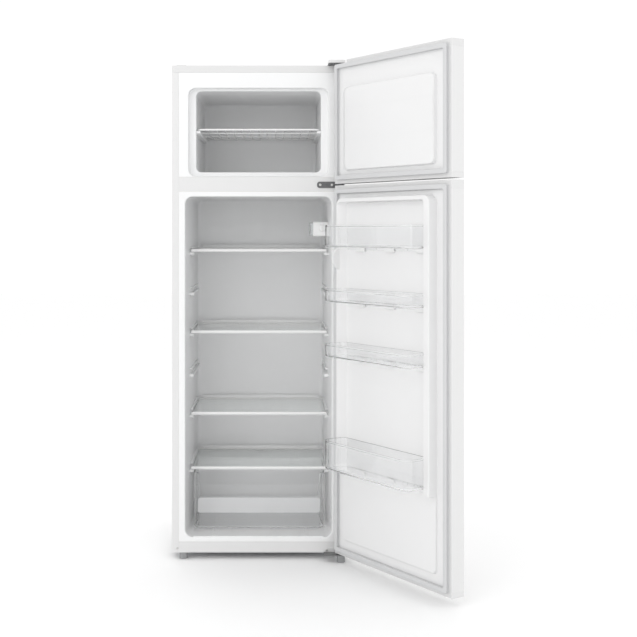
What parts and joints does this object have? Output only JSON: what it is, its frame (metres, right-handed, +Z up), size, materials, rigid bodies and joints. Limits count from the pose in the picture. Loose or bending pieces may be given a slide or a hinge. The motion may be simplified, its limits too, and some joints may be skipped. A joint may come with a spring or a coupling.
{
  "type": "top freezer refrigerator",
  "caption": "Upright top-freezer refrigerator with its doors standing open, sliding glass shelves, a clear crisper drawer and lift-off door bins.",
  "frame": {"origin": "on the floor, under the middle of the cabinet without its doors", "axes": "+Z up, the cabinet front faces -Y, +X to the right when looking at the front; the doors hang on the +X side"},
  "size_m": [0.8459, 0.9804, 1.5685],
  "materials": {
    "white_enamel": "gloss",
    "white_plastic": "satin",
    "liner_plastic": "satin",
    "insulating_foam": "matte",
    "zinc_sheet": "satin",
    "dark_hinge_steel": "satin",
    "zinc_screws": "satin",
    "steel_pins": "polished",
    "compressor_black": "satin",
    "black_rubber": "matte",
    "black_plastic": "matte",
    "copper_pipe": "satin",
    "grey_plastic": "matte",
    "foot_plastic": "matte",
    "gasket_rubber": "matte",
    "tempered_glass": "polished",
    "clear_plastic": "polished",
    "lens_plastic": "gloss",
    "lamp_board": "satin",
    "white_wire": "satin"
  },
  "bodies": {
    "cabinet": {"side_panel_left": "white_enamel", "side_panel_right": "white_enamel", "top_cover": "white_plastic", "back_panel": "zinc_sheet", "mullion_cover": "white_enamel", "bottom_rail": "white_enamel", "body_foam": "insulating_foam", "freezer_liner": "liner_plastic", "fridge_liner": "liner_plastic", "foamed_pipework": "copper_pipe", "compressor_base": "zinc_sheet", "compressor": "compressor_black", "compressor_grommets": "black_rubber", "start_relay_cover": "black_plastic", "evaporation_tray": "grey_plastic", "compressor_pipes": "copper_pipe", "filter_drier": "copper_pipe", "drain_tube": "grey_plastic", "cord_gland": "black_rubber", "top_hinge": "dark_hinge_steel", "middle_hinge": "dark_hinge_steel", "bottom_hinge": "dark_hinge_steel", "pivot_pins": "steel_pins", "fasteners": "zinc_screws", "top_hinge_cover": "white_plastic", "hole_plugs": "white_plastic", "control_housing": "white_plastic", "lamp_lens": "lens_plastic", "lamp_board": "lamp_board"},
    "freezer_door": {"freezer_door_skin": "white_enamel", "freezer_door_foam": "insulating_foam", "freezer_door_liner": "liner_plastic", "freezer_door_gasket": "gasket_rubber", "freezer_door_caps": "white_plastic", "freezer_door_bushes": "grey_plastic"},
    "fridge_door": {"fridge_door_skin": "white_enamel", "fridge_door_foam": "insulating_foam", "fridge_door_liner": "liner_plastic", "fridge_door_gasket": "gasket_rubber", "fridge_door_caps": "white_plastic", "fridge_door_bushes": "grey_plastic"},
    "freezer_shelf": {"freezer_shelf": "white_wire"},
    "upper_shelf": {"upper_shelf_glass": "tempered_glass", "upper_shelf_trims": "white_plastic"},
    "middle_shelf": {"middle_shelf_glass": "tempered_glass", "middle_shelf_trims": "white_plastic"},
    "lower_shelf": {"lower_shelf_glass": "tempered_glass", "lower_shelf_trims": "white_plastic"},
    "crisper_cover": {"crisper_cover_glass": "tempered_glass", "crisper_cover_trims": "white_plastic"},
    "crisper_drawer": {"crisper_drawer": "clear_plastic"},
    "thermostat_knob": {"thermostat_knob": "white_plastic"},
    "left_foot": {"left_foot": "foot_plastic"},
    "right_foot": {"right_foot": "foot_plastic"},
    "left_roller": {"left_roller": "grey_plastic"},
    "right_roller": {"right_roller": "grey_plastic"},
    "bin_1": {"door_bin_1": "clear_plastic"},
    "bin_2": {"door_bin_2": "clear_plastic"},
    "bin_3": {"door_bin_3": "clear_plastic"},
    "bin_4": {"door_bin_4": "clear_plastic"}
  },
  "joints": [
    {"name": "freezer_door_hinge", "type": "hinge", "parent": "cabinet", "child": "freezer_door", "pos_m": [0.2585, -0.276, 1.37], "axis": [0, 0, 1], "range_deg": [-123, 7]},
    {"name": "fridge_door_hinge", "type": "hinge", "parent": "cabinet", "child": "fridge_door", "pos_m": [0.2585, -0.276, 0.6], "axis": [0, 0, 1], "range_deg": [-123, 7]},
    {"name": "freezer_shelf_slide", "type": "slide", "parent": "cabinet", "child": "freezer_shelf", "axis": [0, -1, 0], "range_m": [0, 0.2]},
    {"name": "upper_shelf_slide", "type": "slide", "parent": "cabinet", "child": "upper_shelf", "axis": [0, -1, 0], "range_m": [0, 0.2]},
    {"name": "middle_shelf_slide", "type": "slide", "parent": "cabinet", "child": "middle_shelf", "axis": [0, -1, 0], "range_m": [0, 0.2]},
    {"name": "lower_shelf_slide", "type": "slide", "parent": "cabinet", "child": "lower_shelf", "axis": [0, -1, 0], "range_m": [0, 0.2]},
    {"name": "crisper_cover_slide", "type": "slide", "parent": "cabinet", "child": "crisper_cover", "axis": [0, -1, 0], "range_m": [0, 0.2]},
    {"name": "crisper_drawer_slide", "type": "slide", "parent": "cabinet", "child": "crisper_drawer", "axis": [0, -1, 0], "range_m": [0, 0.2]},
    {"name": "thermostat_turn", "type": "hinge", "parent": "cabinet", "child": "thermostat_knob", "pos_m": [0.205, -0.14, 1.044], "axis": [0, -1, 0], "range_deg": [-135, 135]},
    {"name": "left_foot_turn", "type": "hinge", "parent": "cabinet", "child": "left_foot", "pos_m": [-0.2375, -0.235, 0.01], "axis": [0, 0, 1], "continuous": true},
    {"name": "right_foot_turn", "type": "hinge", "parent": "cabinet", "child": "right_foot", "pos_m": [0.2585, -0.276, 0.01], "axis": [0, 0, 1], "continuous": true},
    {"name": "left_roller_spin", "type": "hinge", "parent": "cabinet", "child": "left_roller", "pos_m": [-0.2335, 0.225, 0.014], "axis": [1, 0, 0], "continuous": true},
    {"name": "right_roller_spin", "type": "hinge", "parent": "cabinet", "child": "right_roller", "pos_m": [0.2335, 0.225, 0.014], "axis": [1, 0, 0], "continuous": true},
    {"name": "bin_1_lift", "type": "slide", "parent": "fridge_door", "child": "bin_1", "axis": [0, 0, 1], "range_m": [0, 0.02]},
    {"name": "bin_2_lift", "type": "slide", "parent": "fridge_door", "child": "bin_2", "axis": [0, 0, 1], "range_m": [0, 0.02]},
    {"name": "bin_3_lift", "type": "slide", "parent": "fridge_door", "child": "bin_3", "axis": [0, 0, 1], "range_m": [0, 0.02]},
    {"name": "bin_4_lift", "type": "slide", "parent": "fridge_door", "child": "bin_4", "axis": [0, 0, 1], "range_m": [0, 0.02]}
  ]
}
